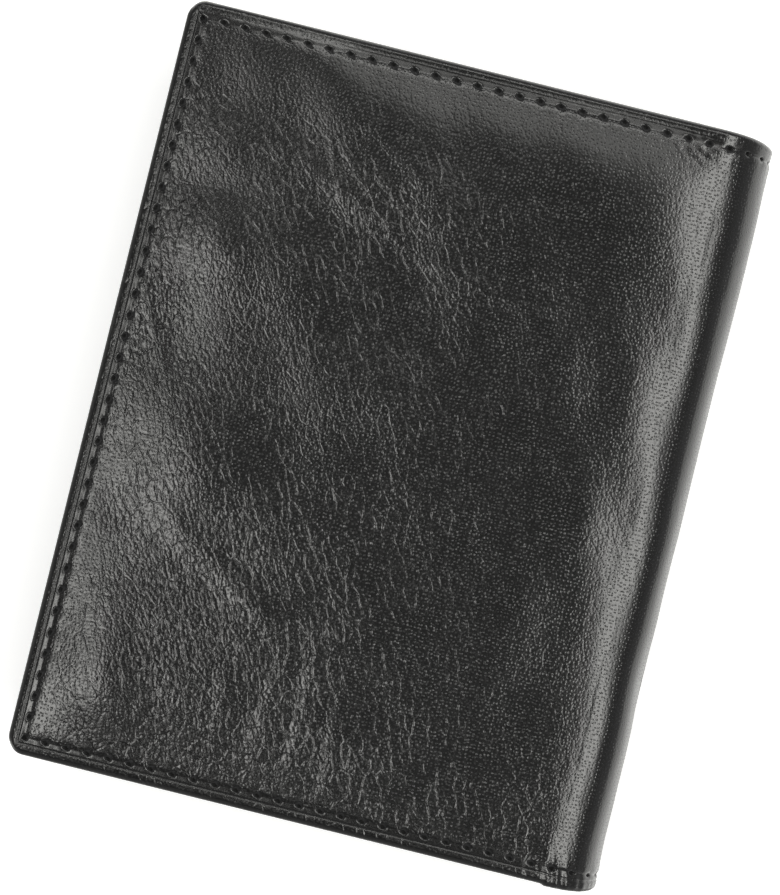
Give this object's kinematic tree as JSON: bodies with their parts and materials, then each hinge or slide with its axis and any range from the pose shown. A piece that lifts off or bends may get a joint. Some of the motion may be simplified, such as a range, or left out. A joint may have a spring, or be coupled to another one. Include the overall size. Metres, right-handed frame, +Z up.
{
  "type": "vertical bifold wallet",
  "caption": "Closed vertical bifold wallet of leather: hemmed covers, a spine that folds in strips, a note pocket, staggered card slots and a turning window page.",
  "frame": {"origin": "on the surface that the closed wallet lies on, under the middle of its bounding box", "axes": "+X from the opening edge towards the spine, +Y from the tail to the head of the covers, +Z up from the front cover to the back cover"},
  "size_m": [0.0974, 0.125, 0.018],
  "materials": {
    "cover_leather": "glossy full-grain, pebbled",
    "inner_leather": "semi-matte, fine grain",
    "lining_fabric": "fine woven twill",
    "stiffener_board": "raw board",
    "seam_thread": "twisted, waxed",
    "window_film": "clear, glossy"
  },
  "bodies": {
    "front_half": {"front_cover": "cover_leather", "front_stiffener": "stiffener_board", "front_note_lining": "lining_fabric", "front_inner_panel": "inner_leather", "front_card_slot_1": "inner_leather", "front_card_slot_2": "inner_leather", "front_card_slot_3": "inner_leather", "front_card_slot_4": "inner_leather", "front_seam_thread": "seam_thread"},
    "spine_1": {"spine_leather_1": "cover_leather", "spine_lining_1": "lining_fabric"},
    "spine_2": {"spine_leather_2": "cover_leather", "spine_lining_2": "lining_fabric"},
    "spine_3": {"spine_leather_3": "cover_leather", "spine_lining_3": "lining_fabric"},
    "spine_4": {"spine_leather_4": "cover_leather", "spine_lining_4": "lining_fabric"},
    "back_half": {"back_cover": "cover_leather", "back_stiffener": "stiffener_board", "back_note_lining": "lining_fabric", "back_inner_panel": "inner_leather", "back_card_slot_1": "inner_leather", "back_card_slot_2": "inner_leather", "back_card_slot_3": "inner_leather", "back_card_slot_4": "inner_leather", "back_seam_thread": "seam_thread"},
    "page": {"page_binding": "inner_leather", "page_window_frame": "inner_leather", "page_window_film": "window_film", "page_back_leather": "inner_leather", "page_card_slot_1": "inner_leather", "page_card_slot_2": "inner_leather", "page_seam_thread": "seam_thread"}
  },
  "joints": [
    {"name": "back_cover_fold", "type": "hinge", "parent": "spine_4", "child": "back_half", "pos_m": [0.03975, 0, 0.018], "axis": [0, 1, 0], "range_deg": [0, 22.5]},
    {"name": "front_cover_fold", "type": "hinge", "parent": "front_half", "child": "spine_1", "pos_m": [0.03975, 0, 0], "axis": [0, 1, 0], "range_deg": [0, 22.5]},
    {"name": "spine_fold_1", "type": "hinge", "parent": "spine_1", "child": "spine_2", "pos_m": [0.04611, 0, 0.00264], "axis": [0, 1, 0], "range_deg": [0, 45]},
    {"name": "spine_fold_2", "type": "hinge", "parent": "spine_2", "child": "spine_3", "pos_m": [0.04875, 0, 0.009], "axis": [0, 1, 0], "range_deg": [0, 45]},
    {"name": "spine_fold_3", "type": "hinge", "parent": "spine_3", "child": "spine_4", "pos_m": [0.04611, 0, 0.01536], "axis": [0, 1, 0], "range_deg": [0, 45]},
    {"name": "page_turn", "type": "hinge", "parent": "spine_2", "child": "page", "pos_m": [0.04435, 0, 0.009], "axis": [0, 1, 0], "range_deg": [0, 22.5]}
  ],
  "couplings": [
    {"joint": "front_cover_fold", "follows": "back_cover_fold", "ratio": 1},
    {"joint": "spine_fold_1", "follows": "back_cover_fold", "ratio": 2},
    {"joint": "spine_fold_2", "follows": "back_cover_fold", "ratio": 2},
    {"joint": "spine_fold_3", "follows": "back_cover_fold", "ratio": 2},
    {"joint": "page_turn", "follows": "back_cover_fold", "ratio": 1}
  ]
}
